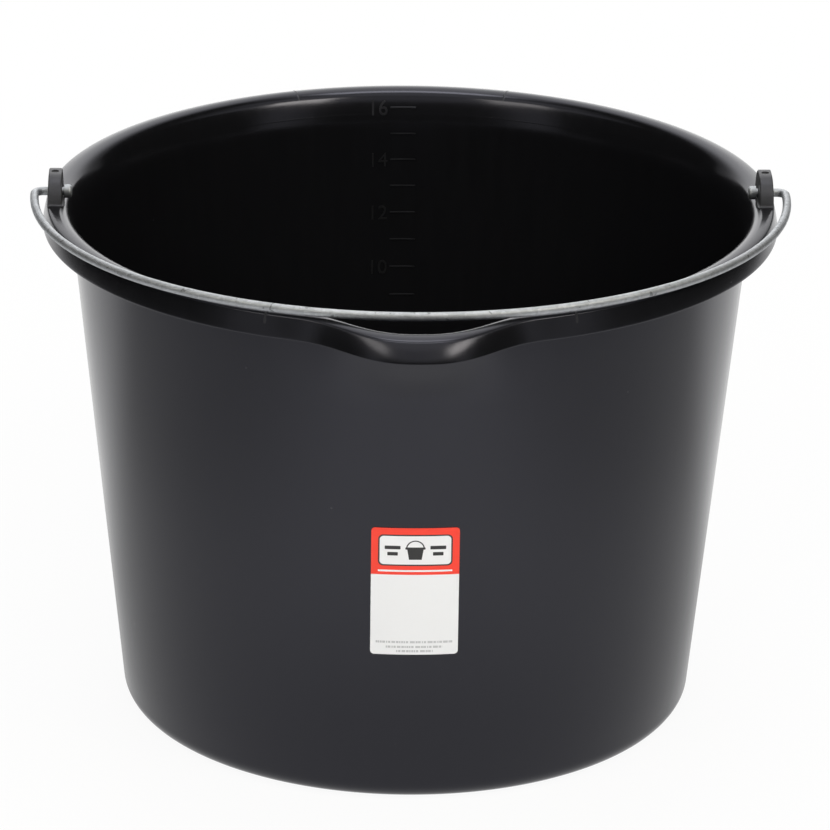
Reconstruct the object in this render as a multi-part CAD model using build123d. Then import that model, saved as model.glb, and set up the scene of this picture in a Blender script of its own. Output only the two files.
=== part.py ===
from build123d import *
import os
from math import asin, atan, ceil, cos, degrees, pi, radians, sin, sqrt, tan

# Builders bucket: one moulding with a pouring lip and two ears, its wire bail and its printed label.
# Millimetres and degrees. The origin is the centre of the base on the ground and +Z is up.
# The pouring lip and the label face -Y, and the ears stand at +X and -X.

# Moulded wall and base
rim_height = 250.6        # ground to the crown of the rim
base_radius = 136.1       # outside of the wall, produced to the ground
mouth_radius = 161.05     # outside of the wall, produced to the rim's height
wall = 2.6
floor_wall = 3.0
base_rounding = 10.0      # outside, from the wall to the base
floor_rounding = 7.0      # inside, from the wall to the floor

# Rim, rolled out over the wall and down into a skirt
crown_step = 6.15         # wall's outside to the roll's crown
roll_inner = 7.0          # the roll's radius on the mouth's side
roll_outer = 10.4         # the roll's radius on the skirt's side
roll_turn = 23.8          # from the crown to the rim's outer corner
roll_end_turn = 8.0       # how far before that corner the roll runs out straight
rim_wall = 2.2
rim_outer_rounding = 1.4
skirt_depth = 11.2        # crown to the skirt's lower edge
skirt_flare = 2.0         # how far the skirt leans out on its way down
skirt_wall = 2.0
skirt_rounding = 0.6
throat_lean = 27.0        # out of the vertical, where the roll turns into the wider arc of the throat
flare_step = 4.0          # end of the throat to where the wall's outside starts to flare

# Pouring lip: the rim is drawn out, down and over, its skirt leans out more, and the wall under it follows
lip_reach = 14.0
lip_drop = 1.95
lip_tilt = 9.0
lip_skirt_out = 5.4
lip_skirt_up = 2.9
lip_half_width = 60.0     # along the rim, from the middle to where the rim is round again
lip_fade = 47.0           # how far below the crown the wall starts to follow
lip_flare = 24.0          # how far the wall leans out where it meets the lip
lip_section_pitch = 5.0   # along the rim, between the lip's sections
lip_azimuth = -90.0
lip_joint_tolerance = 0.001

# Ears
ear_width = 28.6
ear_height = 12.2         # above the rim's crown
ear_root = 1.5            # how deep the ear stands in the roll
ear_top_flat = 6.0        # level part of the top, between its roundings
ear_inset = 3.3           # roll's crown to the ear's inner face
ear_setback = 0.1         # ear's outer corners, inside the rim's outer corner
ear_draft = 1.5
ear_edge_rounding = 0.7
ear_pit_diameter = 3.6
ear_pit_depth = 0.6

# Bail
wire_diameter = 4.0
bail_rest_gap = 0.25      # wire over the rim when the bail lies down
bail_side_gap = 1.6       # skirt's lower edge to the wire, beside the ears
bail_front_step = 1.7     # roll's crown to the wire's middle, in front
bail_bend_radius = 4.0
eye_clearance = 0.2       # wire to the ear's eye, all round
head_diameter = 6.4
head_thickness = 3.5
head_gap = 0.8            # wire showing between the ear and its head
head_rounding = 1.4

# Label
label_width = 40.3
label_height = 65.5
label_middle = 110.8      # ground to the label's middle
label_wall = 0.25
label_corner = 1.8
label_gap = 0.05          # adhesive

# Litre scale, raised on the inside of the back wall
scale_first = 9
scale_last = 16
mark_width = 12.6
mark_height = 0.7
mark_depth = 0.4

litre = 1e6               # cubic millimetres

wall_slope = (mouth_radius - base_radius) / rim_height
wall_lean = degrees(atan(wall_slope))
crown_radius = mouth_radius + crown_step
rim_outer_radius = crown_radius + roll_outer * sin(radians(roll_turn))
skirt_radius = rim_outer_radius + skirt_flare
lip_joint = rim_height - lip_fade
lip_angle = degrees(lip_half_width / rim_outer_radius)
ear_inner = crown_radius - ear_inset
ear_outer = sqrt((rim_outer_radius - ear_setback) ** 2 - (ear_width / 2) ** 2)
ear_wall = ear_outer - ear_inner
ear_top_rounding = (ear_width - ear_top_flat) / 2
pivot_height = rim_height + bail_rest_gap + wire_diameter / 2
bail_half_span = skirt_radius + bail_side_gap + wire_diameter / 2
bail_reach = crown_radius + bail_front_step


def outside(z):
    """Radius of the wall's outside at a height."""
    return base_radius + wall_slope * z


def inside(z):
    """Radius of the wall's inside at a height."""
    return outside(z) - wall


def radial_plane(azimuth):
    """Plane through the axis, with X outwards and Y up."""
    out = Vector(1, 0, 0).rotate(Axis.Z, azimuth)
    return Plane(origin=(0, 0, 0), x_dir=out, z_dir=out.cross(Vector(0, 0, 1)))


def rounded(before, corner, after, radius):
    """The arc that rounds a corner: its start, a point on it and its end."""
    back = (before - corner).normalized()
    ahead = (after - corner).normalized()
    half = radians(back.get_angle(ahead)) / 2
    inwards = (back + ahead).normalized()
    middle = corner + inwards * (radius / sin(half) - radius)
    return corner + back * (radius / tan(half)), middle, corner + ahead * (radius / tan(half))


def roll_point(turn, depth=0):
    """A point of the roll, turned outwards from its crown, at a depth under its skin."""
    radius = roll_outer if turn > 0 else roll_inner
    across = sin(radians(turn)) * (radius - depth)
    drop = radius - cos(radians(turn)) * (radius - depth)
    return Vector(crown_radius + across, rim_height - drop)


def lean_step(lean):
    """How far the throat has come in and down where it leans this much, for a radius of 1."""
    start = radians(throat_lean)
    end = radians(lean)
    return Vector(cos(start) - cos(end), sin(end) - sin(start))


def throat_radius():
    """Radius of the throat's arc, which ends along the wall's inside."""
    top = roll_point(throat_lean - 90)
    step = lean_step(wall_lean)
    return (inside(top.Y) - top.X) / (step.X - wall_slope * step.Y)


def rim_points():
    """The rim's round section, from the wall's outside over the skirt and the roll to the wall's inside."""
    throat = throat_lean - 90
    throat_top = roll_point(throat)
    wall_in = throat_top + lean_step(wall_lean) * throat_radius()
    low = wall_in.Y + flare_step
    return {
        "wall_out": Vector(outside(low), low),
        "throat_under": roll_point(throat, rim_wall),
        "roll_under": roll_point(throat / 2, rim_wall),
        "crown_under": roll_point(0, rim_wall),
        "skirt_top": roll_point(roll_turn, rim_wall),
        "skirt_in": Vector(skirt_radius - skirt_wall, rim_height - skirt_depth),
        "skirt_out": Vector(skirt_radius, rim_height - skirt_depth),
        "outer_corner": roll_point(roll_turn),
        "roll_out_end": roll_point(roll_turn - roll_end_turn),
        "roll_out": roll_point((roll_turn - roll_end_turn) / 2),
        "crown": roll_point(0),
        "roll_in": roll_point(throat / 2),
        "throat_top": throat_top,
        "throat": throat_top + lean_step((throat_lean + wall_lean) / 2) * throat_radius(),
        "wall_in": wall_in,
    }


def rim_section(share):
    """Closed section of the rim and of the wall down to the lip's joint, with a share of the lip's reach."""
    p = rim_points()
    for name in ("skirt_in", "skirt_out"):
        p[name] += Vector(lip_skirt_out, lip_skirt_up) * share
    hinge = Vector(crown_radius, rim_height - roll_inner)
    for name, at in p.items():
        p[name] = (at - hinge).rotate(Axis.Z, -lip_tilt * share) + hinge + Vector(lip_reach, -lip_drop) * share
    edge_out = rounded(p["skirt_in"], p["skirt_out"], p["outer_corner"], skirt_rounding)
    outer = rounded(p["skirt_out"], p["outer_corner"], p["roll_out_end"], rim_outer_rounding)
    foot_out = Vector(outside(lip_joint), lip_joint)
    foot_in = Vector(inside(lip_joint), lip_joint)
    up = Vector(wall_slope, 1).normalized()
    lean = up.rotate(Axis.Z, -lip_flare * share)
    under = [p[name] for name in ("wall_out", "throat_under", "roll_under", "crown_under", "skirt_top", "skirt_in")]
    edges = [
        Line(foot_in, foot_out),
        Spline(foot_out, p["wall_out"], tangents=(up, lean)),
        Polyline(*under, edge_out[0]),
        ThreePointArc(*edge_out),
        Line(edge_out[2], outer[0]),
        ThreePointArc(*outer),
        Line(outer[2], p["roll_out_end"]),
        ThreePointArc(p["roll_out_end"], p["roll_out"], p["crown"]),
        ThreePointArc(p["crown"], p["roll_in"], p["throat_top"]),
        ThreePointArc(p["throat_top"], p["throat"], p["wall_in"]),
        Spline(p["wall_in"], foot_in, tangents=(-lean, -up)),
    ]
    return make_face(edges)


def lip_share(along):
    """How much of the lip's reach the rim has, a distance along the rim from the lip's middle."""
    t = min(abs(along) / lip_half_width, 1)
    return 1 - t ** 3 * (10 - 15 * t + 6 * t * t)


def shell():
    """Base, wall, rim and pouring lip."""
    section = make_face(Polyline(
        (0, 0), (base_radius, 0), (outside(lip_joint), lip_joint), (inside(lip_joint), lip_joint),
        (inside(floor_wall), floor_wall), (0, floor_wall), close=True,
    ))
    section = fillet(section.vertices().group_by(Axis.Y)[1].sort_by(Axis.X)[-1], floor_rounding)
    section = fillet(section.vertices().group_by(Axis.Y)[0].sort_by(Axis.X)[-1], base_rounding)
    lower = revolve(radial_plane(-lip_azimuth) * section, axis=Axis.Z)
    round_plane = radial_plane(lip_azimuth + lip_angle)
    ring = revolve(round_plane * rim_section(0), axis=Axis.Z, revolution_arc=360 - 2 * lip_angle)
    steps = ceil(lip_half_width / lip_section_pitch)
    sections = []
    for i in range(-steps, steps + 1):
        share = lip_share(lip_half_width * i / steps)
        sections.append(radial_plane(lip_azimuth + lip_angle * i / steps) * rim_section(share))
    lip = loft(sections)
    return lower.solid().fuse(ring.solid(), lip.solid(), tol=lip_joint_tolerance)


def ear():
    """The ear at +X, rooted in the roll, with what its eye and its pit take out of it."""
    middle = ear_inner + ear_wall / 2
    foot = Plane((middle, 0, rim_height - ear_root)) * Rectangle(ear_wall, ear_width)
    block = extrude(foot, ear_root + ear_height, taper=ear_draft)
    across = Plane.YZ.offset(ear_inner - ear_wall)
    through = 3 * ear_wall
    outline = Rectangle(ear_width, 2 * ear_height)
    outline = fillet(outline.vertices().group_by(Axis.Y)[-1], ear_top_rounding)
    plate = block & extrude(across * Pos(0, rim_height) * outline, through)

    def round_a_face(edge):
        at = edge.center()
        return at.Z > rim_height - ear_root / 2 and abs(at.X - middle) > ear_wall / 4

    plate = fillet(plate.edges().filter_by(round_a_face), ear_edge_rounding)
    eye = extrude(across * Pos(0, pivot_height) * Circle(wire_diameter / 2 + eye_clearance), through)
    pit_floor = Plane((middle, 0, rim_height + ear_height - ear_pit_depth))
    pit = extrude(pit_floor * Circle(ear_pit_diameter / 2), 2 * ear_pit_depth)
    return plate, eye, pit


def litre_height(litres):
    """Height of the water's surface above the ground, from the volume of the tapered inside."""
    low = inside(floor_wall)
    cubed = 3 * wall_slope * litres * litre / pi + low ** 3
    return floor_wall + (cubed ** (1 / 3) - low) / wall_slope


def back_face(z):
    """Radius of the inside at a height under the roll, at the back."""
    end = rim_points()["wall_in"]
    if z < end.Y:
        return inside(z)
    radius = throat_radius()
    lean = asin(sin(radians(wall_lean)) + (z - end.Y) / radius)
    return end.X + radius * (cos(radians(wall_lean)) - cos(lean))


def litre_marks():
    """The scale's raised lines, rooted in the back wall, as far up as the roll leaves room."""
    depth = wall / 2 + mark_depth
    marks = []
    for litres in range(scale_first, scale_last + 1):
        height = litre_height(litres)
        if height < rim_points()["throat_top"].Y - mark_height:
            root = back_face(height) + wall / 2
            marks.append(Pos(0, root - depth / 2, height) * Box(mark_width, depth, mark_height))
    return marks


def bucket_body():
    body = shell()
    plate, eye, pit = ear()
    for turn in (0, 180):
        body = body + Rot(0, 0, turn) * plate - Rot(0, 0, turn) * eye - Rot(0, 0, turn) * pit
    for mark in litre_marks():
        body = body + mark
    return body


def bail():
    head_in = ear_inner - head_gap - head_thickness
    pin_end = Vector(head_in + head_thickness / 2, 0)
    bend = Vector(bail_half_span - bail_bend_radius, -bail_bend_radius)
    bow = bail_reach - bail_bend_radius
    half = [
        Line(pin_end, (bend.X, 0)),
        CenterArc(bend, bail_bend_radius, 0, 90),
        EllipticalCenterArc((0, bend.Y), bail_half_span, bow, start_angle=270, arc_size=90),
    ]
    path = Wire(half + [edge.mirror(Plane.YZ) for edge in half])
    wire = sweep(Plane(pin_end, z_dir=(1, 0, 0)) * Circle(wire_diameter / 2), path=path)
    head = extrude(Plane.YZ.offset(head_in) * Circle(head_diameter / 2), head_thickness)
    head = fillet(head.edges().filter_by(GeomType.CIRCLE).sort_by(Axis.X)[0], head_rounding)
    return Pos(0, 0, pivot_height) * (wire + head + mirror(head, about=Plane.YZ))


def label():
    low = label_middle - label_height / 2
    high = label_middle + label_height / 2
    back = label_gap
    front = label_gap + label_wall
    strip = make_face(Polyline(
        (outside(low) + back, low), (outside(low) + front, low),
        (outside(high) + front, high), (outside(high) + back, high), close=True,
    ))
    turn = degrees(label_width / outside(low))
    skin = revolve(radial_plane(lip_azimuth - turn) * strip, axis=Axis.Z, revolution_arc=2 * turn)
    outline = Pos(0, label_middle) * RectangleRounded(label_width, label_height, label_corner)
    return skin & extrude(Plane.XZ * outline, 2 * mouth_radius)


os.makedirs("parts", exist_ok=True)
for name, piece in (("bucket_body", bucket_body()), ("bail", bail()), ("label", label())):
    export_step(piece, f"parts/{name}.step")
    print(name, "solids", len(piece.solids()), "volume", round(piece.volume))
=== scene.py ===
# %% [markdown]
# # A builders bucket
# The bucket is one black moulding, a bent wire bail and a printed label. The CAD model says where each of
# them is and which body carries it, so the first step loads it as a fixed frame. Everything below is built in
# that frame, in metres, with the pouring lip towards -Y and the ears at +X and -X.

# %% Load the frame
from math import asin, atan2, cos, degrees, hypot, pi, radians, sin, sqrt, tan

import bmesh
import bpy
from mathutils import Matrix, Vector


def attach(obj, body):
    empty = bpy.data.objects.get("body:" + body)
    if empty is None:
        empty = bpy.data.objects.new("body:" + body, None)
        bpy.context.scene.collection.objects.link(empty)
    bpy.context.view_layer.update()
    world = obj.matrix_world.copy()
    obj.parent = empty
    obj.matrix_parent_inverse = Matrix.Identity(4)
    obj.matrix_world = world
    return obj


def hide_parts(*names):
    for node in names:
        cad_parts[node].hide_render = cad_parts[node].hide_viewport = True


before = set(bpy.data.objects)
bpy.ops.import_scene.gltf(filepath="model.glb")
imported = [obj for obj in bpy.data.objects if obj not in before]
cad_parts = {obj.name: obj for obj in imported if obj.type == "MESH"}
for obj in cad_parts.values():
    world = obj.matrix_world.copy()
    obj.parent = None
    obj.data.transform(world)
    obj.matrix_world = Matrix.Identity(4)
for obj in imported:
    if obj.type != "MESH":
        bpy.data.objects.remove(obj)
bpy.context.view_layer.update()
scene = bpy.context.scene
scene.view_settings.view_transform = "Standard"

# %% [markdown]
# ## The camera
# A product shot is taken from far away with a long lens, so that the rim's ellipse stays calm. The camera
# stands 2.7 m off, a little to the left of the lip, and looks down at 21 degrees. Its aim lies slightly to
# the right of the axis, which moves the bucket to the left in the picture without any lens shift.

# %% Camera
camera_distance = 2.6847
camera_azimuth = radians(-1.6)
camera_elevation = radians(21.41)
camera_roll = 0.0115
aim = Vector((0, 0, 0.1398))
aim_aside = 0.00326
lens = 243.0

back = Vector((
    sin(camera_azimuth) * cos(camera_elevation),
    -cos(camera_azimuth) * cos(camera_elevation),
    sin(camera_elevation),
))
right = Vector((cos(camera_azimuth), sin(camera_azimuth), 0))
camera = bpy.data.objects.new("camera", bpy.data.cameras.new("camera"))
camera.data.lens = lens
camera.data.sensor_width = 36
camera.location = aim + right * aim_aside + back * camera_distance
look = (-back).to_track_quat("-Z", "Y").to_matrix() @ Matrix.Rotation(camera_roll, 3, "Z")
camera.rotation_euler = look.to_euler()
scene.collection.objects.link(camera)
scene.camera = camera
print("camera at", [round(c, 3) for c in camera.location])

# %% [markdown]
# ## Sizes
# The sizes are the CAD model's own, in millimetres, so that each new piece lies exactly on the solid that it
# stands for. Pieces are modelled in millimetres too and are brought to metres when they are done.

# %% Sizes
mm = 0.001
rim_height = 250.6
base_radius = 136.1
mouth_radius = 161.05
wall = 2.6
floor_wall = 3.0
wall_slope = (mouth_radius - base_radius) / rim_height
rim_outer = 171.4
skirt_radius = 173.4
skirt_low = 11.2
print("rim across", 2 * skirt_radius, "mm, wall leans", round(degrees(wall_slope), 2), "degrees")


def outside(z):
    """Radius of the wall's outside at a height."""
    return base_radius + wall_slope * z


def inside(z):
    """Radius of the wall's inside at a height."""
    return outside(z) - wall


# %% [markdown]
# ## From a bmesh to a piece
# Every piece ends the same way: it is scaled to metres, its faces are smoothed except across sharp edges, and
# it rides on a body of the frame. One helper does that, and says how many faces the piece has.

# %% Helper for a finished piece
smooth_angle = radians(38)


def piece(bm, name, body):
    """Makes an object of a bmesh in millimetres and lets it ride on a body."""
    bmesh.ops.transform(bm, matrix=Matrix.Scale(mm, 4), verts=bm.verts)
    mesh = bpy.data.meshes.new(name)
    bm.to_mesh(mesh)
    bm.free()
    mesh.shade_smooth()
    mesh.set_sharp_from_angle(angle=smooth_angle)
    made = bpy.data.objects.new(name, mesh)
    scene.collection.objects.link(made)
    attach(made, body)
    print(name, "has", len(mesh.polygons), "faces")
    return made


# %% [markdown]
# ## The moulding's section
# A bucket is a body of revolution. It could be a tapered cylinder with a rim added on, but a lathe gives the
# wall, the rim, the skirt and the throat in one skin, as the mould does. The rim is a roll of two arcs, tight
# inwards and wider outwards, and one long arc, the throat, brings it down into the wall. Their points are
# worked out one by one, so that each arc ends in the direction in which the next one starts.

# %% Roll and throat
crown = Vector((167.2, rim_height))
roll_inner = 7.0
roll_outer = 10.4
roll_wall = 2.2
throat_lean = radians(27.0)
flare_step = 4.0
outer_end = radians(23.8)
inner_end = throat_lean - pi / 2


def roll_point(angle, depth=0):
    """A point of the roll at an angle outwards from its crown, some way under its skin."""
    radius = roll_outer if angle > 0 else roll_inner
    return crown + Vector((sin(angle) * (radius - depth), cos(angle) * (radius - depth) - radius))


over_roll = [roll_point(outer_end + (inner_end - outer_end) * i / 21) for i in range(22)]
under_roll = [roll_point(inner_end + (outer_end - inner_end) * i / 7, roll_wall) for i in range(7)]
outer_corner = over_roll[0]
wall_lean = atan2(wall_slope, 1)
throat_way = cos(wall_lean) - cos(throat_lean) - wall_slope * (sin(throat_lean) - sin(wall_lean))
throat_radius = (over_roll[-1].x - inside(over_roll[-1].y)) / throat_way


def throat_point(lean):
    """A point of the throat, the large arc between the roll and the wall, where it leans this much."""
    step = Vector((cos(throat_lean) - cos(lean), sin(lean) - sin(throat_lean)))
    return over_roll[-1] + throat_radius * step


throat = [throat_point(throat_lean + (wall_lean - throat_lean) * i / 14) for i in range(1, 15)]
wall_in = throat[-1]
print("rim's outer corner at", [round(c, 2) for c in outer_corner], "mm, throat ends at", round(wall_in.y, 1))

# %% [markdown]
# The section is a bare wire of corner points, from the middle of the base round the rim to the middle of the
# floor. A corner that has a rounding gets a vertex bevel. The bevel's offset is the length of the tangent, so
# it follows from the radius. The skirt of the rim bulges by a third of a millimetre, which softens what it
# mirrors.

# %% Section wire
lip_fade = 47.0
lip_joint = rim_height - lip_fade
skirt_wall = 2.0
skirt_foot = rim_height - skirt_low
skirt_belly = 0.37
wall_out = Vector((outside(wall_in.y + flare_step), wall_in.y + flare_step))
skirt_bulge = Vector(((rim_outer + skirt_radius) / 2 + skirt_belly, (outer_corner.y + skirt_foot) / 2))
section = [
    # radius, height, rounding
    (0, 0, 0),
    (base_radius, 0, 10.0),
    (outside(lip_joint), lip_joint, 0),
    (wall_out.x, wall_out.y, 0.8),
    *((point.x, point.y, 0) for point in under_roll),
    (skirt_radius - skirt_wall, skirt_foot, 0.5),
    (skirt_radius, skirt_foot, 0.6),
    (skirt_bulge.x, skirt_bulge.y, 70.0),
    (outer_corner.x, outer_corner.y, 1.6),
    *((point.x, point.y, 0) for point in over_roll[1:]),
    *((point.x, point.y, 0) for point in throat),
    (inside(lip_joint), lip_joint, 0),
    (inside(floor_wall), floor_wall, 7.0),
    (0, floor_wall, 0),
]


def rounded_wire(points):
    """A wire of points with radius, height and rounding, in the XZ plane."""
    bm = bmesh.new()
    corners = [bm.verts.new((r, 0, z)) for r, z, _ in points]
    for start, end in zip(corners, corners[1:]):
        bm.edges.new((start, end))
    for corner, (_, _, radius) in zip(corners, points):
        if radius:
            sides = [edge.other_vert(corner).co - corner.co for edge in corner.link_edges]
            tangent = radius / tan(sides[0].angle(sides[1]) / 2)
            bmesh.ops.bevel(
                bm, geom=[corner], offset=tangent, offset_type="OFFSET", affect="VERTICES",
                segments=10 if radius > 2 else 5, profile=0.5, material=-1,
            )
    return bm


shell = rounded_wire(section)
long_edges = [edge for edge in shell.edges if edge.calc_length() > 30]
flat_edges = [edge for edge in shell.edges if 1.5 < edge.calc_length() < 30]
bmesh.ops.subdivide_edges(shell, edges=long_edges, cuts=11)
bmesh.ops.subdivide_edges(shell, edges=flat_edges, cuts=5)
print("section wire of", len(shell.edges), "edges")

# %% [markdown]
# ## Spinning the section
# A full spin with merging closes the skin. The points on the axis come out once per step, so doubles are
# merged and the normals are made to face outwards afterwards.

# %% Spin
spin_steps = 240
bmesh.ops.spin(
    shell, geom=shell.verts[:] + shell.edges[:], cent=(0, 0, 0), axis=(0, 0, 1),
    dvec=(0, 0, 0), angle=2 * pi, steps=spin_steps, use_merge=True,
)
bmesh.ops.remove_doubles(shell, verts=shell.verts, dist=0.001)
bmesh.ops.recalc_face_normals(shell, faces=shell.faces)
print("shell spun to", len(shell.faces), "faces")

# %% [markdown]
# ## The pouring lip
# The mould draws the rim out at the front: it moves outwards, sinks and tips forward, and the wall below
# leans out to meet it. A lattice could pull it, but a rule keeps the rim's section stiff while the wall
# bends. Each point gets a share of the lip, full in the middle and smoothly nothing at the sides. Rim points
# turn about a hinge under the crown, and the skirt leans out more and bellies a little. Wall points follow a
# curve that starts along the wall and ends along the lip's lean.

# %% Rule for the lip
lip_reach = 14.0
lip_drop = 1.95
lip_tilt = radians(9.0)
lip_skirt_out = 5.4
lip_skirt_up = 2.9
lip_belly = 0.35
lip_half_width = 60.0
lip_lean = radians(24.0)
lip_hinge = crown - Vector((0, roll_inner))
skirt_inside = rim_outer - 3.0


def lip_share(along):
    """Share of the lip's reach at a distance along the rim."""
    t = min(abs(along) / lip_half_width, 1)
    return 1 - t ** 3 * (10 - 15 * t + 6 * t * t)


def turned(vector, angle):
    """A section's vector turned outwards and down."""
    return Vector((
        vector.x * cos(angle) + vector.y * sin(angle),
        vector.y * cos(angle) - vector.x * sin(angle),
    ))


def drawn_rim(point, share):
    """Where a point of the rim's section goes. The skirt leans out more and is less deep at the lip."""
    if point.x > skirt_inside and point.y < outer_corner.y:
        down = (outer_corner.y - point.y) / (outer_corner.y - skirt_foot)
        belly = lip_belly * 4 * down * (1 - down)
        point = point + Vector((lip_skirt_out * down + belly, lip_skirt_up * down + belly / 2)) * share
    return turned(point - lip_hinge, lip_tilt * share) + lip_hinge + Vector((lip_reach, -lip_drop)) * share


def drawn_wall(point, share):
    """Where a point of the wall's section goes."""
    outer = point.x > outside(point.y) - wall / 2
    foot = Vector((outside(lip_joint) if outer else inside(lip_joint), lip_joint))
    top = wall_out if outer else wall_in
    t = (point.y - lip_joint) / (top.y - lip_joint)
    end = drawn_rim(top, share)
    chord = (end - foot).length
    up = Vector((wall_slope, 1)).normalized()
    lean = turned(up, lip_lean * share)
    rise = t * t * (3 - 2 * t)
    return foot.lerp(end, rise) + up * (chord * t * (1 - t) ** 2) - lean * (chord * t * t * (1 - t))


print("lip reaches", lip_reach, "mm over", 2 * lip_half_width, "mm of the rim")

# %% [markdown]
# The rule is then used on every point of the shell near the front. A point's place is read as a direction
# round the axis and a place in the section, the section's place is changed, and the point is put back.

# %% Draw the lip out
moved = 0
for vert in shell.verts:
    azimuth = atan2(vert.co.x, -vert.co.y)
    share = lip_share(azimuth * rim_outer)
    if share > 0 and vert.co.z > lip_joint:
        point = Vector((hypot(vert.co.x, vert.co.y), vert.co.z))
        outer = point.x > outside(point.y) - wall / 2
        on_wall = point.y < (wall_out.y if outer else wall_in.y) + 0.01
        point = drawn_wall(point, share) if on_wall else drawn_rim(point, share)
        vert.co = (point.x * sin(azimuth), -point.x * cos(azimuth), point.y)
        moved += 1
bucket_shell = piece(shell, "bucket_shell", "bucket")
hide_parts("bucket_body")
print("lip moved", moved, "points")

# %% [markdown]
# ## The ears
# Each ear is a plate that stands on the rim, with a rounded top, a little draft, an eye for the wire and the
# shallow round pit that an ejector pin leaves. The outline starts as one face whose upper corners are
# rounded. It is extruded to a plate and its rims are bevelled. Rows of points near the foot are then pushed
# out along a quarter circle, which is the fillet where the plate grows out of the rim.

# %% Ear plate
ear_width = 28.6
ear_height = 12.2
ear_inner = 163.9
ear_wall = sqrt((rim_outer - 0.1) ** 2 - (ear_width / 2) ** 2) - ear_inner
ear_middle = ear_inner + ear_wall / 2
ear_arch = 11.3
ear_sunk = 1.5
ear_draft = tan(radians(1.5))
ear_foot = 0.9
ear_rounding = 0.7
pivot_height = rim_height + 2.25


def ear_plate():
    """The plate of the ear at +X, with its rims bevelled and its foot flared."""
    bm = bmesh.new()
    half = ear_width / 2
    low = rim_height - ear_sunk
    high = rim_height + ear_height
    outline = ((-half, low), (half, low), (half, high), (-half, high))
    corners = [bm.verts.new((ear_inner, y, z)) for y, z in outline]
    bm.faces.new(corners)
    bmesh.ops.bevel(
        bm, geom=corners[2:], offset=ear_arch, offset_type="OFFSET", affect="VERTICES",
        segments=12, profile=0.5, material=-1,
    )
    grown = bmesh.ops.extrude_face_region(bm, geom=bm.faces[:])
    fresh = [g for g in grown["geom"] if isinstance(g, bmesh.types.BMVert)]
    bmesh.ops.translate(bm, vec=(ear_wall, 0, 0), verts=fresh)
    bmesh.ops.recalc_face_normals(bm, faces=bm.faces)
    rims = []
    for edge in bm.edges:
        first, second = (vert.co for vert in edge.verts)
        if abs(first.x - second.x) < 0.01 and max(first.z, second.z) > low + 0.01:
            rims.append(edge)
    bmesh.ops.bevel(
        bm, geom=rims, offset=ear_rounding, offset_type="OFFSET", affect="EDGES",
        segments=3, profile=0.5, material=-1,
    )
    for step in range(5):
        level = rim_height + ear_foot * (step / 4) ** 2
        bmesh.ops.bisect_plane(
            bm, geom=bm.verts[:] + bm.edges[:] + bm.faces[:], plane_co=(0, 0, level), plane_no=(0, 0, 1),
        )
    for vert in bm.verts:
        above = vert.co.z - low
        away_x = (vert.co.x - ear_middle) / (ear_wall / 2)
        away_y = vert.co.y / half
        gap = min(max(rim_height + ear_foot - vert.co.z, 0), ear_foot)
        flare = ear_foot - sqrt(ear_foot ** 2 - gap ** 2)
        vert.co.x -= ear_draft * above * away_x
        vert.co.y -= ear_draft * above * away_y
        if away_x < -0.75:
            vert.co.x -= flare
        if abs(away_y) > 0.93:
            vert.co.y += flare if away_y > 0 else -flare
    return bm


plate = ear_plate()
print("ear plate has", len(plate.faces), "faces and is", round(ear_wall, 2), "mm thick")
plate.free()

# %% [markdown]
# The eye and the pit are cut by cylinders with a Boolean modifier, which is then applied. Both ears are
# alike, so the second one is the first turned half round the axis.

# %% Ears with eye and pit
eye_radius = 2.2
pit_radius = 1.8
pit_depth = 0.6


def cylinder(name, radius, depth, matrix):
    """A plain cylinder in metres, for cutting."""
    bm = bmesh.new()
    bmesh.ops.create_cone(
        bm, cap_ends=True, segments=40, radius1=radius, radius2=radius, depth=depth, matrix=matrix,
    )
    bmesh.ops.transform(bm, matrix=Matrix.Scale(mm, 4), verts=bm.verts)
    mesh = bpy.data.meshes.new(name)
    bm.to_mesh(mesh)
    bm.free()
    made = bpy.data.objects.new(name, mesh)
    scene.collection.objects.link(made)
    return made


def cut(target, *tools):
    """Takes the tools out of the target and removes them."""
    for tool in tools:
        step = target.modifiers.new("cut", "BOOLEAN")
        step.operation = "DIFFERENCE"
        step.solver = "EXACT"
        step.object = tool
    depsgraph = bpy.context.evaluated_depsgraph_get()
    done = bpy.data.meshes.new_from_object(target.evaluated_get(depsgraph))
    target.modifiers.clear()
    target.data = done
    done.set_sharp_from_angle(angle=smooth_angle)
    for tool in tools:
        bpy.data.objects.remove(tool)


ears = []
for name, turn in (("ear_right", 0), ("ear_left", pi)):
    half_turn = Matrix.Rotation(turn, 4, "Z")
    plate = ear_plate()
    bmesh.ops.transform(plate, matrix=half_turn, verts=plate.verts)
    ear = piece(plate, name, "bucket")
    across = Matrix.Translation((ear_middle, 0, pivot_height)) @ Matrix.Rotation(pi / 2, 4, "Y")
    eye = cylinder("eye", eye_radius, 3 * ear_wall, half_turn @ across)
    upright = Matrix.Translation((ear_middle, 0, rim_height + ear_height))
    pit = cylinder("pit", pit_radius, 2 * pit_depth, half_turn @ upright)
    cut(ear, eye, pit)
    flats = ear.modifiers.new("flats", "WEIGHTED_NORMAL")
    flats.keep_sharp = True
    ears.append(ear)
    print(name, "after cutting has", len(ear.data.polygons), "faces")

# %% [markdown]
# ## The litre scale
# On the inside of the back wall the mould left a raised line for each litre from 9 to 16, and a number at
# every second one. The heights follow from the volume of the tapered inside. Each line starts as a cube that
# is cut across, so that it can bend with the wall.

# %% Scale lines
litre = 1e6
mark_width = 12.6
mark_height = 0.7
mark_proud = 0.4
mark_root = 0.5


def litre_height(litres):
    """Height of the water's surface, from the volume of the tapered inside."""
    low = inside(floor_wall)
    return floor_wall + ((3 * wall_slope * litres * litre / pi + low ** 3) ** (1 / 3) - low) / wall_slope


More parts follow.
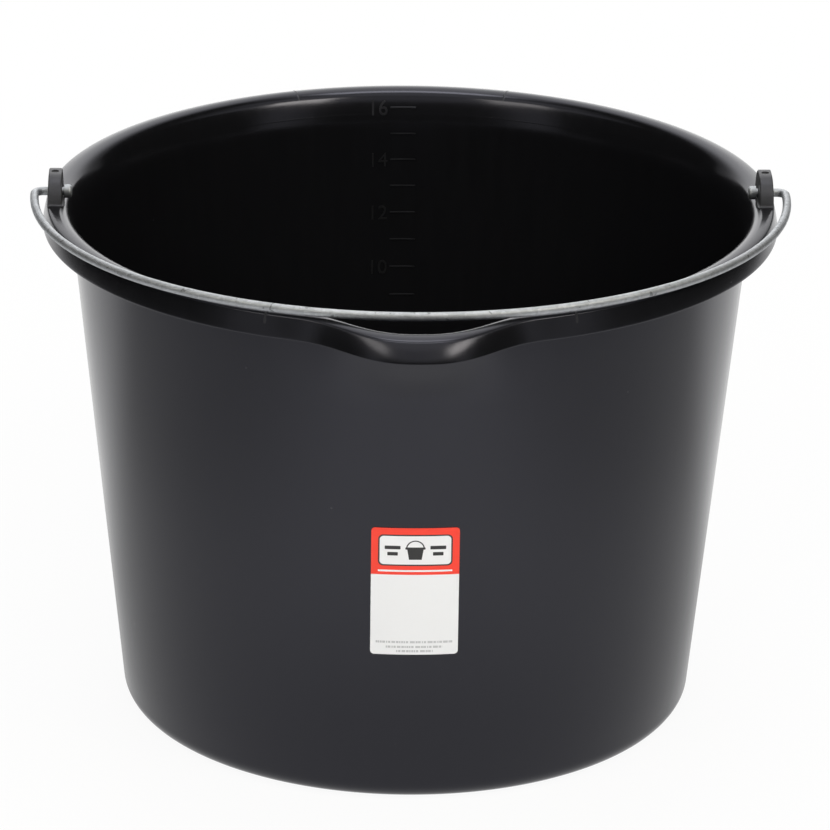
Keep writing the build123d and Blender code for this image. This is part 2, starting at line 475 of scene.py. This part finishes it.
def back_face(z):
    """Radius of the inside at the back, on the wall or on the throat above it."""
    lean = asin(sin(wall_lean) + max(z - wall_in.y, 0) / throat_radius)
    return inside(min(z, wall_in.y)) + throat_radius * (cos(wall_lean) - cos(lean))


def on_back(x, z, proud):
    """A point at a height over the inside of the back wall."""
    radius = back_face(z) - proud
    return Vector((x, sqrt(radius ** 2 - x ** 2), z))


def wrapped(bm, flat, x, z):
    """Adds a flat mesh to a bmesh and lays it on the back wall, its own Z standing off the wall."""
    before = len(bm.verts)
    bm.from_mesh(flat)
    bm.verts.ensure_lookup_table()
    for vert in bm.verts[before:]:
        vert.co = on_back(x + vert.co.x, z + vert.co.y, vert.co.z)


bar = bmesh.new()
bmesh.ops.create_cube(
    bar, size=1,
    matrix=Matrix.Translation((0, 0, (mark_proud - mark_root) / 2))
    @ Matrix.Diagonal((mark_width, mark_height, mark_proud + mark_root, 1)),
)
bmesh.ops.subdivide_edges(bar, edges=[edge for edge in bar.edges if edge.calc_length() > 5], cuts=6)
crest = [
    edge for edge in bar.edges
    if all(v.co.z > 0 for v in edge.verts) and len(edge.link_faces) == 2 and edge.calc_face_angle() > 1
]
bmesh.ops.bevel(
    bar, geom=crest, offset=0.15, offset_type="OFFSET", affect="EDGES", segments=2, profile=0.5, material=-1,
)
bar_mesh = bpy.data.meshes.new("bar")
bar.to_mesh(bar_mesh)
bar.free()

lines = bmesh.new()
for litres in range(9, 17):
    wrapped(lines, bar_mesh, 0, litre_height(litres))
    print(litres, "litres at", round(litre_height(litres), 1), "mm")
bpy.data.meshes.remove(bar_mesh)
bmesh.ops.recalc_face_normals(lines, faces=lines.faces)
scale_lines = piece(lines, "scale_lines", "bucket")

# %% [markdown]
# The numbers are text objects, turned into meshes and wrapped onto the wall in the same way. Text is the
# right tool here, because the font already has clean figures, which take 0.71 of the text's size.

# %% Scale numbers
number_height = 7.2
number_right = -7.4
number_proud = 0.35
figure_share = 0.71


def number_mesh(text):
    """A number as a flat mesh in millimetres, standing on its base line."""
    curve = bpy.data.curves.new(text, "FONT")
    curve.body = text
    curve.size = number_height / figure_share
    curve.align_x = "RIGHT"
    curve.extrude = number_proud
    curve.resolution_u = 6
    flat = bpy.data.objects.new(text, curve)
    scene.collection.objects.link(flat)
    depsgraph = bpy.context.evaluated_depsgraph_get()
    mesh = bpy.data.meshes.new_from_object(flat.evaluated_get(depsgraph))
    bpy.data.objects.remove(flat)
    bpy.data.curves.remove(curve)
    return mesh


numbers = bmesh.new()
for litres in range(10, 17, 2):
    flat = number_mesh(str(litres))
    wrapped(numbers, flat, number_right, litre_height(litres) - number_height / 2)
    bpy.data.meshes.remove(flat)
bmesh.ops.remove_doubles(numbers, verts=numbers.verts, dist=0.001)
bmesh.ops.recalc_face_normals(numbers, faces=numbers.faces)
scale_numbers = piece(numbers, "scale_numbers", "bucket")

# %% [markdown]
# ## Mould lines
# Inside, the core of the mould has a joint, which leaves a line round the back, a little below the roll. A
# short wire across that line is spun through 110 degrees. Its edges lie just under the skin.

# %% Core line
line_sunk = 0.06
ring_height = 239.2
ring_start = radians(35)
ring_turn = radians(110)
ring_proud = 0.04
ring = bmesh.new()
corners = []
for rise, proud in ((-0.6, -line_sunk), (-0.15, ring_proud), (0.15, ring_proud), (0.6, -line_sunk)):
    corners.append(ring.verts.new((back_face(ring_height + rise) - proud, 0, ring_height + rise)))
for start, end in zip(corners, corners[1:]):
    ring.edges.new((start, end))
bmesh.ops.rotate(ring, cent=(0, 0, 0), matrix=Matrix.Rotation(ring_start, 3, "Z"), verts=ring.verts)
bmesh.ops.spin(
    ring, geom=ring.verts[:] + ring.edges[:], cent=(0, 0, 0), axis=(0, 0, 1),
    dvec=(0, 0, 0), angle=ring_turn, steps=66, use_merge=False,
)
ring.normal_update()
ring.faces.ensure_lookup_table()
if ring.faces[0].normal.dot(ring.faces[0].calc_center_median() * Vector((1, 1, 0))) > 0:
    bmesh.ops.reverse_faces(ring, faces=ring.faces)
core_line = piece(ring, "core_line", "bucket")

# %% [markdown]
# The part of the mould that forms the lip slides out sideways, and so does a smaller one at the back. Where
# they meet the rest of the mould, a fine ridge runs over the skirt and the roll. It could be a bump in the
# finish, but a real ridge stays in the mesh. It is the section's own wire, spun through half a degree, with
# its middle pushed up by a few hundredths of a millimetre, and its ends die away into the skin. A spin may
# give faces of either direction, so they are turned to face away from the middle of the roll.

# %% Mould lines
ridge_width = 1.5
ridge_proud = 0.06
ridge_turns = (-23.5, 24.3, 180 - 17.9, 180 + 18.7)
ridge_ends = 4
ridge_path = [
    outer_corner.lerp(Vector((skirt_radius, skirt_foot)), 0.7), skirt_bulge - Vector((0.2, 0)),
    outer_corner.lerp(skirt_bulge, 0.5), *over_roll,
]
ridge_swell = [min(i, len(ridge_path) - 1 - i, ridge_ends) / ridge_ends for i in range(len(ridge_path))]


def swell_at(place):
    """How much of its height the ridge has at a place, from nothing at its ends."""
    point = Vector((hypot(place.x, place.y), place.z))
    return min(zip(ridge_path, ridge_swell), key=lambda step: (step[0] - point).length)[1]


ridges = bmesh.new()
for turn in ridge_turns:
    ridge = bmesh.new()
    corners = [ridge.verts.new((0, -point.x, point.y)) for point in ridge_path]
    for start, end in zip(corners, corners[1:]):
        ridge.edges.new((start, end))
    width = ridge_width / rim_outer
    first = radians(turn) - width / 2
    bmesh.ops.rotate(ridge, cent=(0, 0, 0), matrix=Matrix.Rotation(first, 3, "Z"), verts=ridge.verts)
    bmesh.ops.spin(
        ridge, geom=ridge.verts[:] + ridge.edges[:], cent=(0, 0, 0), axis=(0, 0, 1),
        dvec=(0, 0, 0), angle=width, steps=4, use_merge=False,
    )
    bmesh.ops.recalc_face_normals(ridge, faces=ridge.faces)
    ridge.normal_update()
    roll_middle = Matrix.Rotation(radians(turn), 3, "Z") @ Vector((0, -lip_hinge.x, lip_hinge.y))
    ridge.faces.ensure_lookup_table()
    face = ridge.faces[0]
    if face.normal.dot(face.calc_center_median() - roll_middle) < 0:
        bmesh.ops.reverse_faces(ridge, faces=ridge.faces)
        ridge.normal_update()
    for vert in ridge.verts:
        lift = 0 if vert.is_boundary else (line_sunk + ridge_proud) * swell_at(vert.co)
        vert.co += vert.normal * (lift - line_sunk)
    ridge_mesh = bpy.data.meshes.new("ridge")
    ridge.to_mesh(ridge_mesh)
    ridge.free()
    ridges.from_mesh(ridge_mesh)
    bpy.data.meshes.remove(ridge_mesh)
mould_lines = piece(ridges, "mould_lines", "bucket")

# %% [markdown]
# ## Shader maths
# A finish is a small tree of nodes. Written as plain calls it is long and hard to read, so one class wraps a
# socket and turns Python's operators into Math nodes, and one method makes any other node. Settings go in
# first, because a node's sockets depend on them. The nodes that come back often have a method of their own.

# %% Node helper


class Value:
    """A socket of a node tree. Sums on it add Math nodes."""

    def __init__(self, tree, socket):
        self.tree = tree
        self.socket = socket

    def math(self, operation, *others):
        return self.tree.node("ShaderNodeMath", {"operation": operation}, dict(enumerate((self, *others))))

    def __add__(self, other):
        return self.math("ADD", other)

    def __sub__(self, other):
        return self.math("SUBTRACT", other)

    def __rsub__(self, other):
        return self.tree.node("ShaderNodeMath", {"operation": "SUBTRACT"}, {0: other, 1: self})

    def __mul__(self, other):
        return self.math("MULTIPLY", other)

    def __truediv__(self, other):
        return self.math("DIVIDE", other)

    def __pow__(self, other):
        return self.math("POWER", other)

    def __abs__(self):
        return self.math("ABSOLUTE")

    __radd__ = __add__
    __rmul__ = __mul__

    def below(self, edge, soft):
        """1 where the value is below an edge, 0 above it, with a soft step between."""
        return self.tree.node(
            "ShaderNodeMapRange", {"interpolation_type": "SMOOTHSTEP"},
            {"Value": self, "From Min": edge - soft, "From Max": edge + soft, "To Min": 1.0, "To Max": 0.0},
        )


class Tree:
    """A node tree, with one method that makes any node."""

    def __init__(self, node_tree):
        self.nodes = node_tree.nodes
        self.links = node_tree.links
        self.nodes.clear()

    def node(self, kind, settings=None, sockets=None, out=0):
        made = self.nodes.new(kind)
        for name, setting in (settings or {}).items():
            setattr(made, name, setting)
        for name, given in (sockets or {}).items():
            if isinstance(given, Value):
                self.links.new(given.socket, made.inputs[name])
            else:
                made.inputs[name].default_value = given
        return Value(self, made.outputs[out]) if made.outputs else made

    def place(self):
        """The place on the object, in its own coordinates."""
        return self.node("ShaderNodeTexCoord", out="Object")

    def along(self, place, axis):
        """How far along one axis a place is."""
        return self.node("ShaderNodeSeparateXYZ", {}, {"Vector": place}, out=axis)

    def noise(self, place, scale, **more):
        """Soft noise between 0 and 1."""
        return self.node("ShaderNodeTexNoise", {}, {"Vector": place, "Scale": scale, **more})

    def mix(self, factor, first, second):
        """A colour between two colours."""
        return self.node("ShaderNodeMix", {"data_type": "RGBA"}, {0: factor, 6: first, 7: second}, out=2)


def finish(name):
    """A new material and its tree."""
    material = bpy.data.materials.new(name)
    material.use_nodes = True
    return material, Tree(material.node_tree)


def surface(tree, sockets):
    """Ends a tree in a Principled shader with these sockets."""
    shader = tree.node("ShaderNodeBsdfPrincipled", {}, sockets)
    tree.node("ShaderNodeOutputMaterial", {}, {"Surface": shader})


print("node helper ready")

# %% [markdown]
# ## Black plastic
# The moulding is black polypropylene with a satin skin. It has hardly any colour of its own, so its look
# comes from how it reflects the bright room: evenly on the wall, more at the sides where the view grazes it.
# Streaks run up the wall where the mould was drawn off, and the skin has a faint grain. The lip is a little
# duller than the rest, and a new bucket still gets a few specks of dust in the shop.

# %% Black plastic
rim_from = 0.2375


def grey(level):
    """A plain grey."""
    return (level, level, level, 1)


def black_plastic(name, low, high, gloss_wall, gloss_lip):
    """The moulding's finish between two blacks, with the gloss of the wall and of the lip."""
    plastic, tree = finish(name)
    place = tree.place()
    up = tree.along(place, "Z")
    drawn = tree.node("ShaderNodeMapping", {}, {"Vector": place, "Scale": (1, 1, 0.025)})
    streaks = tree.noise(drawn, 260.0, Detail=4.0, Roughness=0.6)
    clouds = tree.noise(place, 18.0, Detail=3.0)
    grain = tree.noise(place, 1500.0, Detail=2.0)
    cells = tree.node("ShaderNodeTexVoronoi", {}, {"Vector": place, "Scale": 90.0}, out="Distance")
    chosen = tree.noise(place, 30.0).below(0.40, 0.02)
    dust = cells.below(0.03, 0.015) * chosen
    ahead = tree.along(place, "Y").below(-0.05, 0.1)
    on_lip = (1 - up.below(rim_from, 0.002)) * ahead
    base_gloss = gloss_wall + (gloss_lip - gloss_wall) * on_lip
    gloss = base_gloss + 0.08 * streaks + 0.05 * clouds
    skin = tree.mix(streaks, low, high)
    dusty = tree.mix(dust * 0.5, skin, grey(0.12))
    relief = 0.6 * grain + 0.4 * streaks
    bump = tree.node("ShaderNodeBump", {}, {"Strength": 0.10, "Distance": 0.0001, "Height": relief})
    surface(tree, {
        "Base Color": dusty, "Roughness": gloss + 0.3 * dust, "IOR": 1.51,
        "Specular Tint": (0.84, 0.845, 1, 1), "Normal": bump,
    })
    return plastic


print("black plastic can be mixed")

# %% [markdown]
# Raised marks, mould lines and ears come out of the mould duller than the skin round them. Their black is
# also lifted to a lighter grey as painted light. On the ears it is a painted sheen on their faces. On the
# litre marks, numbers and mould lines it is a painted highlight along their ridges. So the same finish is
# mixed four times.

# %% Plastic on the pieces


def wear(pieces, material):
    """Gives pieces a finish."""
    for made in pieces:
        made.data.materials.clear()
        made.data.materials.append(material)
    print(material.name, "on", len(pieces), "pieces")


bluish_low = (0.0045, 0.0045, 0.0050, 1)
bluish_high = (0.0068, 0.0068, 0.0075, 1)
shell_black = black_plastic("black_plastic", bluish_low, bluish_high, 0.10, 0.165)
# The lighter greys below are painted light: a painted highlight on the marks and lines, a painted sheen on
# the ears.
marks_painted_highlight_black = black_plastic("black_plastic_marks_painted_highlight", grey(0.0068), grey(0.0092), 0.30, 0.30)
lines_painted_highlight_black = black_plastic("black_plastic_lines_painted_highlight", grey(0.014), grey(0.020), 0.32, 0.32)
ears_painted_sheen_black = black_plastic("black_plastic_ears_painted_sheen", grey(0.030), grey(0.040), 0.38, 0.38)
wear((bucket_shell, core_line), shell_black)
wear((scale_lines, scale_numbers), marks_painted_highlight_black)
wear((mould_lines,), lines_painted_highlight_black)
wear(ears, ears_painted_sheen_black)

# %% [markdown]
# ## Galvanised wire
# Zinc on a drawn wire is dull and mottled: patches of slightly different grey, a soft sheen, and small dark
# nicks where the wire was bent and knocked. Voronoi cells of a millimetre or two make the patches.

# %% Galvanised wire
zinc, tree = finish("galvanised_wire")
place = tree.place()
wander = tree.noise(place, 420.0, Detail=3.0)
patches = tree.node("ShaderNodeTexVoronoi", {}, {"Vector": place, "Scale": 520.0}, out="Color")
patch = tree.node("ShaderNodeSeparateColor", {}, {"Color": patches})
cloud = tree.noise(place, 60.0, Detail=4.0)
nicks = tree.noise(place, 300.0, Detail=1.0).below(0.30, 0.03)
shade = 0.35 * patch + 0.35 * wander + 0.3 * cloud
metal = tree.mix(shade, (0.39, 0.405, 0.42, 1), (0.74, 0.76, 0.785, 1))
nicked = tree.mix(nicks * 0.6, metal, grey(0.12))
bump = tree.node("ShaderNodeBump", {}, {"Strength": 0.25, "Distance": 0.0001, "Height": wander - nicks})
surface(tree, {"Base Color": nicked, "Metallic": 1.0, "Roughness": 0.50 + 0.18 * wander, "Normal": bump})
wear((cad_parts["bail"],), zinc)

# %% [markdown]
# ## The printed label
# The label is coated paper: a red head over a white field. The head carries a white panel with a bucket drawn
# in it between two pairs of bars, and the foot three rows of grey dashes. It could be a painted picture, but
# here it is drawn with distances on the label's own X and Z, so that the edges stay crisp at any size.

# %% Label print
head_low = 119.6 * mm
panel_z = 132.2
fine = 0.06 * mm
white_ink = (0.88, 0.885, 0.90, 1)
red_ink = (0.96, 0.056, 0.030, 1)
dash_ink = (0.25, 0.25, 0.27, 1)
dark_ink = grey(0.03)
paper, tree = finish("printed_label")
place = tree.place()
x = tree.along(place, "X")
z = tree.along(place, "Z")


def box(middle_x, middle_z, half_x, half_z, corner):
    """1 inside a box with rounded corners, in millimetres, else 0."""
    across = (abs(x - middle_x * mm) - (half_x - corner) * mm).math("MAXIMUM", 0.0)
    along = (abs(z - middle_z * mm) - (half_z - corner) * mm).math("MAXIMUM", 0.0)
    return ((across * across + along * along) ** 0.5).below(corner * mm, fine)


print("label's head starts", round(head_low / mm, 1), "mm up")

# %% Shapes of the print
head = 1 - z.below(head_low, fine)
outline = box(0, panel_z, 17.0, 8.0, 2.4)
panel = box(0, panel_z, 16.3, 7.3, 1.9)
foot_z = 127.4 * mm
brim_z = 133.0 * mm
flank = abs(x) - 0.16 * (z - foot_z)
pail = flank.below(2.9 * mm, fine) * (1 - z.below(foot_z, fine)) * z.below(brim_z, fine)
brim = box(0, 133.2, 4.6, 0.55, 0.3)
over_brim = (x * x + (z - brim_z) * (z - brim_z)) ** 0.5
swing = abs(over_brim - 4.0 * mm).below(0.3 * mm, fine)
handle = swing * (1 - z.below(brim_z, fine))
bars = 0
for side in (-1, 1):
    bars = bars + box(side * 10.4, 133.6, 3.6, 0.9, 0.3) + box(side * 10.4, 130.4, 2.4, 0.9, 0.3)
drawing = (pail + brim + handle + bars).math("MINIMUM", 1.0)
stripe = box(0, 121.6, 17.0, 0.45, 0.2)
rows = 0
for row, half in ((84.6, 18.0), (82.1, 13.0), (79.9, 8.6)):
    dashes = tree.node("ShaderNodeTexNoise", {"noise_dimensions": "1D"}, {"W": x / mm + row, "Scale": 1.1})
    rows = rows + box(0, row, half, 0.55, 0.2) * (1 - dashes.below(0.44, 0.03))
print("panel, picture, bars, stripe and dashes drawn")

# %% Inks and paper
ink = tree.mix(head, white_ink, red_ink)
ink = tree.mix(outline, ink, dark_ink)
ink = tree.mix((panel + stripe).math("MINIMUM", 1.0), ink, white_ink)
ink = tree.mix(drawing, ink, dark_ink)
ink = tree.mix(rows * 0.55, ink, dash_ink)
mottle = tree.noise(place, 900.0, Detail=3.0)
bump = tree.node("ShaderNodeBump", {}, {"Strength": 0.05, "Distance": 0.0001, "Height": mottle})
surface(tree, {"Base Color": ink, "Roughness": 0.42 + 0.1 * mottle, "IOR": 1.45, "Normal": bump})
wear((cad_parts["label"],), paper)

# %% [markdown]
# ## The studio
# The bucket stands on a sheet of white paper in a dark room. The paper is what the wall and the rim reflect,
# and the dark room is why the skirt and the inside stay black. The camera sees white all round: the floor and
# the world are plain white to it.

# %% World
black = grey(0)
white = grey(1)
room_light = 0.35


def white_rays(tree):
    """1 for what the camera, a mirror or a glass sees directly, else 0."""
    seen = tree.node("ShaderNodeLightPath", out="Is Camera Ray")
    mirrored = tree.node("ShaderNodeLightPath", out="Is Glossy Ray")
    through = tree.node("ShaderNodeLightPath", out="Is Transmission Ray")
    return seen.math("MAXIMUM", mirrored).math("MAXIMUM", through)


world = bpy.data.worlds.new("studio")
world.use_nodes = True
scene.world = world
tree = Tree(world.node_tree)
level = room_light + (1 - room_light) * white_rays(tree)
sky = tree.node("ShaderNodeBackground", {}, {"Color": white, "Strength": level})
tree.node("ShaderNodeOutputWorld", {}, {"Surface": sky})
print("world is white to the camera and lights the rest at", room_light)

# %% [markdown]
# What the plastic mirrors of the floor is graded: less bright beside the bucket and close to it, and nearly
# dark far out, which shades the wall from its middle to its sides. A small part of the floor's white near the
# bucket is lit, not glowing, so that it takes a soft shadow.

# %% Floor
lit_part = 0.07
beside_dim = 0.42
close_dim = 0.27
far_level = 0.12
floor_radius = 9.0
floor_gap = 0.0004

paper_white, tree = finish("white_paper")
place = tree.place()
away = tree.node("ShaderNodeVectorMath", {"operation": "LENGTH"}, {0: place}, out="Value")
aside = abs(tree.along(place, "X"))
behind = tree.along(place, "Y")
sides = (1 - aside.below(0.27, 0.17)) * behind.below(0.16, 0.1)
close = away.below(0.27, 0.09)
far = far_level + (1 - far_level) * aside.below(0.95, 0.2)
mirrored = (1 - beside_dim * sides) * (1 - close_dim * close) * far
seen = tree.node("ShaderNodeLightPath", out="Is Camera Ray")
shade = tree.mix(mirrored.math("MAXIMUM", seen), black, white)
lit = tree.node("ShaderNodeBsdfDiffuse", {}, {"Color": grey(0.95)})
glow = tree.node("ShaderNodeEmission", {}, {"Color": shade, "Strength": 1.0})
share = white_rays(tree) * (1 - lit_part * away.below(0.55, 0.35))
shown = tree.node("ShaderNodeMixShader", {}, {0: share, 1: lit, 2: glow})
tree.node("ShaderNodeOutputMaterial", {}, {"Surface": shown})


def stage_piece(bm, name, material):
    """Makes a piece of the stage of a bmesh in metres."""
    mesh = bpy.data.meshes.new(name)
    bm.to_mesh(mesh)
    bm.free()
    mesh.materials.append(material)
    made = bpy.data.objects.new(name, mesh)
    scene.collection.objects.link(made)
    return made


bm = bmesh.new()
bmesh.ops.create_circle(bm, cap_ends=True, segments=96, radius=floor_radius)
bmesh.ops.translate(bm, vec=(0, 0, -floor_gap), verts=bm.verts)
stage_piece(bm, "floor", paper_white)
print("floor ready")

# %% [markdown]
# The dark room is a drum round the bucket, open below and unseen by the camera. Its ceiling and the upper
# part of its front glow, which the roll of the rim mirrors, and two dim stands low at the sides lift the
# skirt out of the black.

# %% Dark room
room_radius = 1.7
room_height = 2.6
ceiling_from = 2.58
upper_from = 1.36
stands_to = 1.3
dark_level = 0.006
front_level = 0.85
upper_fade = 0.19
stand_level = 0.4
back_level = 1.7
back_half_width = 0.62

cloth, tree = finish("dark_cloth")
place = tree.place()
aside = abs(tree.along(place, "X"))
behind = tree.along(place, "Y")
up = tree.along(place, "Z")
front = behind.below(-0.1, 0.7)
under_ceiling = up.below(ceiling_from, 0.01)
back_part = (1 - behind.below(0.25, 0.2)) * aside.below(back_half_width, 0.45)
ceiling = (1 - under_ceiling) * (front_level * front + back_level * back_part)
upper = (1 - up.below(upper_from, 0.08)) * under_ceiling * front * (front_level - upper_fade * up)
turn = aside / (0.01 + abs(behind))
stands = (turn.below(1.4, 0.3) - turn.below(0.75, 0.3)) * behind.below(0, 0.1) * up.below(stands_to, 0.15)
level = dark_level + ceiling + upper + stand_level * stands
shade = tree.mix(level / back_level, black, white)
glow = tree.node("ShaderNodeEmission", {}, {"Color": shade, "Strength": back_level})
tree.node("ShaderNodeOutputMaterial", {}, {"Surface": glow})
bm = bmesh.new()
bmesh.ops.create_cone(
    bm, cap_ends=True, segments=64, radius1=room_radius, radius2=room_radius, depth=room_height,
    matrix=Matrix.Translation((0, 0, room_height / 2)),
)
bm.normal_update()
bmesh.ops.delete(bm, geom=[face for face in bm.faces if face.normal.z < -0.9], context="FACES_ONLY")
room = stage_piece(bm, "room", cloth)
room.visible_camera = False
print("dark room", room_height, "m high")

# %% [markdown]
# A white sheet hangs behind the bucket, bright in its middle. It is what the top of the rim mirrors.

# %% White sheet
sheet_dim = grey(0.14)
sheet_half = Matrix.Diagonal((1.2, 1.3, 1, 1))
sheet_place = Matrix.Translation((0, 1.1, 1.3))

glowing, tree = finish("white_sheet")
place = tree.place()
aside = abs(tree.along(place, "X"))
shade = tree.mix(aside.below(back_half_width, 0.45), sheet_dim, white)
glow = tree.node("ShaderNodeEmission", {}, {"Color": shade, "Strength": back_level})
tree.node("ShaderNodeOutputMaterial", {}, {"Surface": glow})
bm = bmesh.new()
bmesh.ops.create_grid(bm, x_segments=1, y_segments=1, size=1)
hung = sheet_place @ Matrix.Rotation(pi / 2, 4, "X") @ sheet_half
bmesh.ops.transform(bm, verts=bm.verts, matrix=hung)
sheet = stage_piece(bm, "sheet", glowing)
sheet.visible_camera = False
print("white sheet hung")

# %% [markdown]
# Two warm soft boxes stand left and right of the camera and put the two bright spots on the pouring lip. A
# box overhead lights the wire, the ears and the inside, and a broad fill in front, which nothing mirrors,
# lights the label.

# %% Soft boxes


def soft_box(name, place, target, size, power):
    """A rectangular soft box at a place, facing a target. Size is across and up, in metres."""
    light = bpy.data.lights.new(name, "AREA")
    light.shape = "RECTANGLE"
    light.size, light.size_y = size
    light.energy = power
    lamp = bpy.data.objects.new(name, light)
    lamp.location = place
    lamp.rotation_euler = (Vector(target) - Vector(place)).to_track_quat("-Z", "Y").to_euler()
    lamp.visible_camera = False
    scene.collection.objects.link(lamp)
    return lamp


box_elevation = radians(42)
box_distance = 1.6
box_size = (0.55, 0.44)
box_colour = (1, 0.95, 0.80)
box_target = Vector((0, 0, 0.25))
for name, azimuth, power in (("left_box", radians(-45), 2.75), ("right_box", radians(44), 5.6)):
    level = box_distance * cos(box_elevation)
    place = box_target + Vector((
        level * sin(azimuth), -level * cos(azimuth), box_distance * sin(box_elevation),
    ))
    warm_box = soft_box(name, place, box_target, box_size, power)
    warm_box.data.color = box_colour
soft_box("top_box", (0, 0.1, 2.3), (0, 0, 0.2), (1.0, 0.55), 6.9)
fill = soft_box("front_fill", (0, -1.5, 1.0), (0, 0, 0.12), (1.4, 0.9), 14.5)
fill.visible_glossy = False
print("two soft boxes, a top box and a fill")
